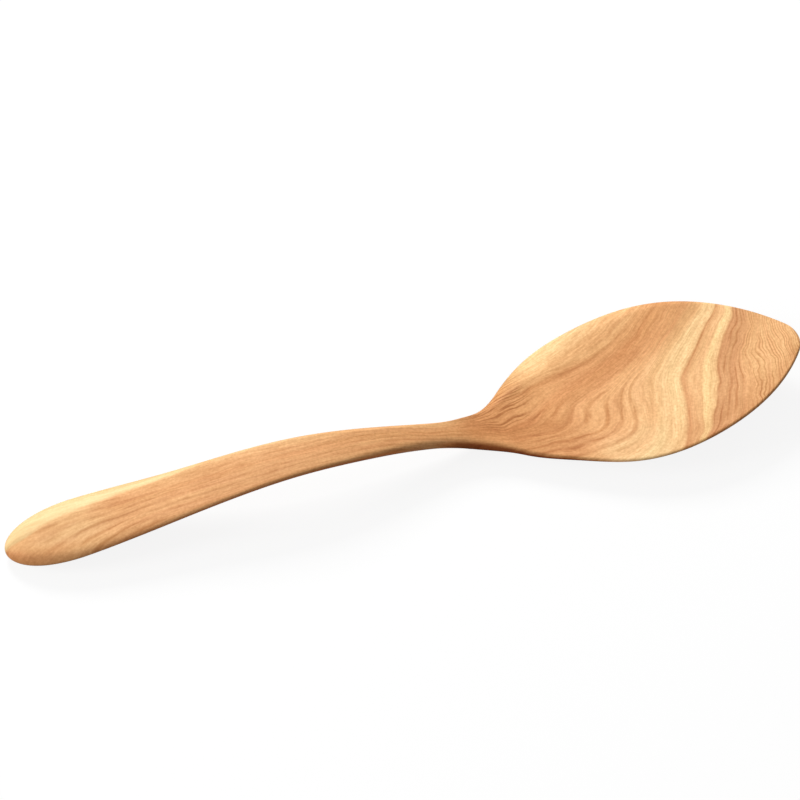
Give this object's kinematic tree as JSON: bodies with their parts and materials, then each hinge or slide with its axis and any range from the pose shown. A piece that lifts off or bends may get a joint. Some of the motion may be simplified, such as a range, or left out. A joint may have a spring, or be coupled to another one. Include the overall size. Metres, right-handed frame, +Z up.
{
  "type": "wooden spatula",
  "caption": "One-piece carved wooden spatula with a flat oval grip, an arched handle and a leaf-shaped, shallowly dished blade for stirring, turning and scraping food.",
  "frame": {"origin": "On the table, under the middle of the overall length and width, with the spatula lying on its heel and on the end of its handle", "axes": "+X runs from the end of the handle to the tip of the blade, +Z is up out of the dish, and +Y is the far side, along which the top face is bevelled"},
  "size_m": [0.304, 0.072, 0.0198],
  "materials": {
    "wood": "satin, oiled, figured orange-tan grain with pale belts"
  },
  "bodies": {
    "root": {"spatula_body": "wood"}
  },
  "joints": []
}
